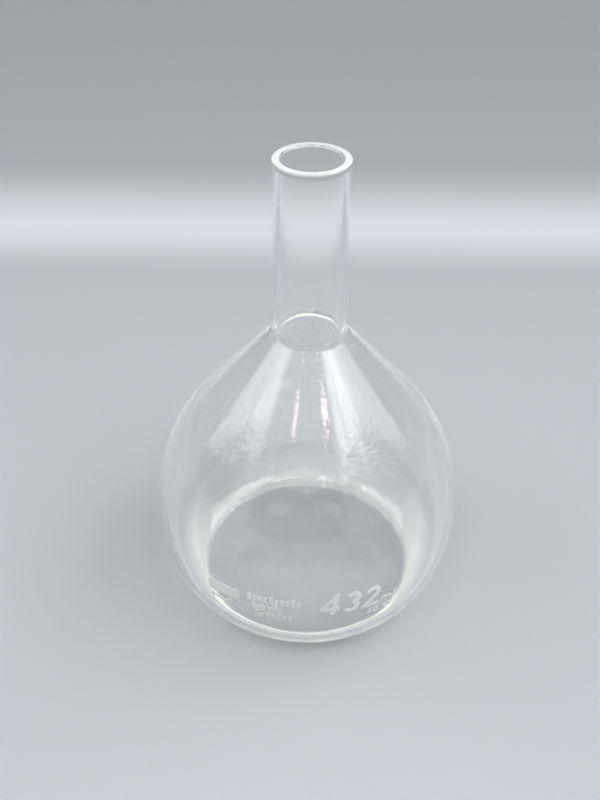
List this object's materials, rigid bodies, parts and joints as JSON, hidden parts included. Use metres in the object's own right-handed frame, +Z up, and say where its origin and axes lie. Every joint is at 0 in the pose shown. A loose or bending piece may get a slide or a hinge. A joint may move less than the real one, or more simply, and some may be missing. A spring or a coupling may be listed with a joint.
{
  "type": "overflow measuring flask",
  "caption": "Pear-shaped clear glass measuring flask with a flat foot, an open straight neck and a fired white capacity marking; filled to the brim it holds its marked volume.",
  "frame": {"origin": "centre of the foot's standing face, on the flask's axis", "axes": "+Z up along the axis to the mouth; the marking faces -Y"},
  "size_m": [0.0964, 0.0965, 0.1485],
  "materials": {
    "glass": "clear borosilicate glass, fire-polished",
    "enamel": "fired white enamel, thin and slightly rough"
  },
  "bodies": {
    "root": {"bulb": "glass", "neck": "glass", "marking_panel": "enamel", "panel_caption": "enamel", "ruled_lines": "enamel", "capacity_numerals": "enamel", "unit_mark": "enamel", "temperature_mark": "enamel"}
  },
  "joints": []
}
